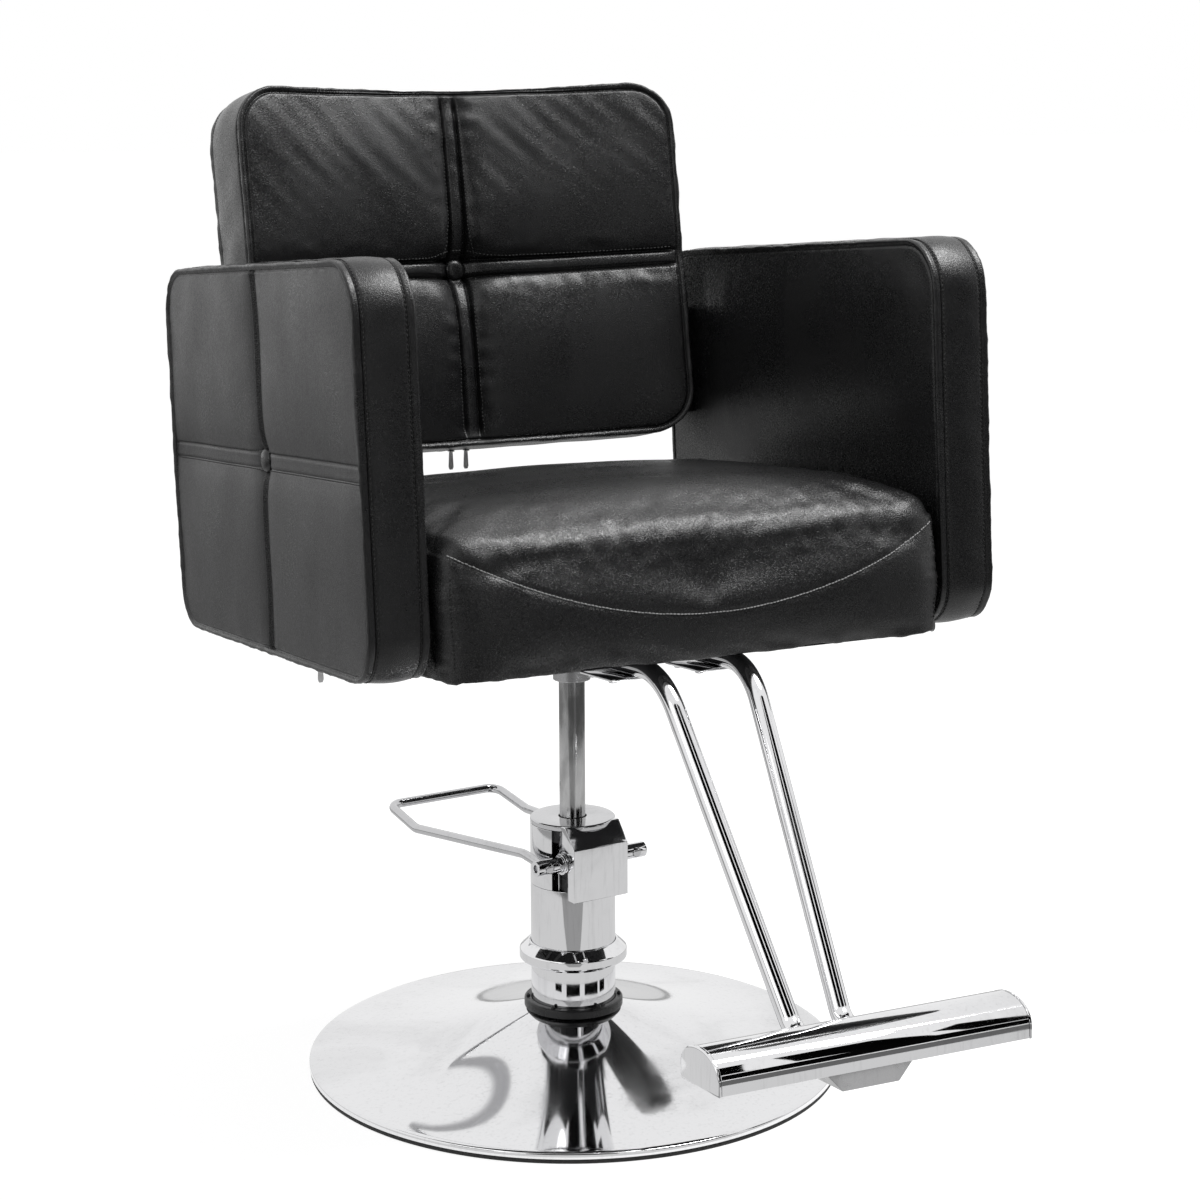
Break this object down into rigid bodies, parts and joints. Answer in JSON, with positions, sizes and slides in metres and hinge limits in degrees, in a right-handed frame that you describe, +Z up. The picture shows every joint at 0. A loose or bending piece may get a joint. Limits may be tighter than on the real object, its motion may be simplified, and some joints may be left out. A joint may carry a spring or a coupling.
{
  "type": "salon styling chair",
  "caption": "Hydraulic salon styling chair: black padded seat, arms and tufted back on a chromed pump column with a round base, foot pedal and bar footrest.",
  "frame": {"origin": "lift column's axis at the floor", "axes": "+Z up along the column, the sitter faces -Y, +X to the right when seen from the front"},
  "size_m": [0.6528, 1.0276, 1.0136],
  "materials": {
    "polished_chrome": "polished chrome plate",
    "ground_steel": "ground and brushed steel",
    "cast_iron": "rough casting, lightly oiled",
    "black_paint": "satin black paint",
    "black_rubber": "matt moulded rubber",
    "bearing_bronze": "turned bearing bronze",
    "black_leather": "soft black leatherette with a fine grain and a low sheen",
    "black_lining": "thin black dust cover cloth",
    "plywood": "bare plywood",
    "spring_steel": "drawn spring wire"
  },
  "bodies": {
    "root": {"base_cover": "polished_chrome", "base_plate": "cast_iron", "cylinder_head": "cast_iron", "foot_valve_block": "cast_iron", "mounting_ring": "black_paint", "pump_barrel": "ground_steel", "pump_head_cover": "polished_chrome", "pump_housing": "polished_chrome", "rim_gasket": "black_rubber", "rod_guide_bush": "bearing_bronze", "shaft_bush_left": "bearing_bronze", "shaft_bush_right": "bearing_bronze", "top_cap": "polished_chrome", "trim_collar": "polished_chrome", "upper_sleeve": "polished_chrome", "valve_casting": "cast_iron", "wiper_seal": "black_rubber"},
    "pedal": {"pedal_shaft": "polished_chrome", "pedal_loop": "polished_chrome", "pedal_cam": "ground_steel", "shaft_washer_left": "polished_chrome", "shaft_washer_right": "polished_chrome"},
    "plunger": {"pump_plunger": "ground_steel", "plunger_spring": "spring_steel"},
    "piston": {"piston_head": "ground_steel", "piston_seal": "black_rubber", "rod_thrust_ring": "bearing_bronze"},
    "seat": {"piston_rod": "ground_steel", "rod_socket": "ground_steel", "mount_plate": "black_paint", "front_rail": "black_paint", "rear_rail": "black_paint", "arm_plate_left": "black_paint", "arm_plate_right": "black_paint", "seat_board": "plywood", "seat_lining": "black_lining", "seat_cushion": "black_leather", "arm_left_cushion": "black_leather", "arm_left_button": "black_leather", "arm_right_cushion": "black_leather", "arm_right_button": "black_leather", "back_cushion": "black_leather", "back_button": "black_leather", "back_panel": "black_leather", "back_bracket_left": "ground_steel", "back_bracket_right": "ground_steel", "footrest_tube_left": "polished_chrome", "footrest_tube_right": "polished_chrome", "tube_clamp_left": "polished_chrome", "tube_clamp_right": "polished_chrome", "footrest_bar": "polished_chrome", "footrest_cap_left": "polished_chrome", "footrest_cap_right": "polished_chrome", "footrest_bracket": "polished_chrome"},
    "back_zip_1_pull": {"back_zip_1_pull": "ground_steel"},
    "back_zip_2_pull": {"back_zip_2_pull": "ground_steel"},
    "arm_zip_left_pull": {"arm_zip_left_pull": "ground_steel"},
    "arm_zip_right_pull": {"arm_zip_right_pull": "ground_steel"}
  },
  "joints": [
    {"name": "lift", "type": "slide", "parent": "root", "child": "piston", "axis": [0, 0, 1], "range_m": [-0.12, 0.028]},
    {"name": "seat_swivel", "type": "hinge", "parent": "piston", "child": "seat", "pos_m": [0, 0, 0], "axis": [0, 0, 1], "continuous": true},
    {"name": "pedal_press", "type": "hinge", "parent": "root", "child": "pedal", "pos_m": [0.00408, -0.03325, 0.2284], "axis": [0.9925, 0.1219, 0], "range_deg": [-26, 0], "stiffness_Nm_per_rad": 4, "springref_deg": 20.05},
    {"name": "plunger_slide", "type": "slide", "parent": "root", "child": "plunger", "axis": [0, 0, 1], "range_m": [0, 0.003], "deforming": ["plunger_spring"]},
    {"name": "back_zip_1_swing", "type": "hinge", "parent": "seat", "child": "back_zip_1_pull", "pos_m": [-0.012, 0.28934, 0.61344], "axis": [1, 0, 0], "range_deg": [-60, 60]},
    {"name": "back_zip_2_swing", "type": "hinge", "parent": "seat", "child": "back_zip_2_pull", "pos_m": [0.006, 0.28934, 0.61344], "axis": [1, 0, 0], "range_deg": [-60, 60]},
    {"name": "arm_zip_left_swing", "type": "hinge", "parent": "seat", "child": "arm_zip_left_pull", "pos_m": [-0.297, -0.06664, 0.47487], "axis": [1, 0, 0], "range_deg": [-60, 60]},
    {"name": "arm_zip_right_swing", "type": "hinge", "parent": "seat", "child": "arm_zip_right_pull", "pos_m": [0.297, -0.06664, 0.47487], "axis": [1, 0, 0], "range_deg": [-60, 60]}
  ],
  "couplings": [
    {"joint": "plunger_slide", "follows": "pedal_press", "m_per_rad": -0.006}
  ]
}
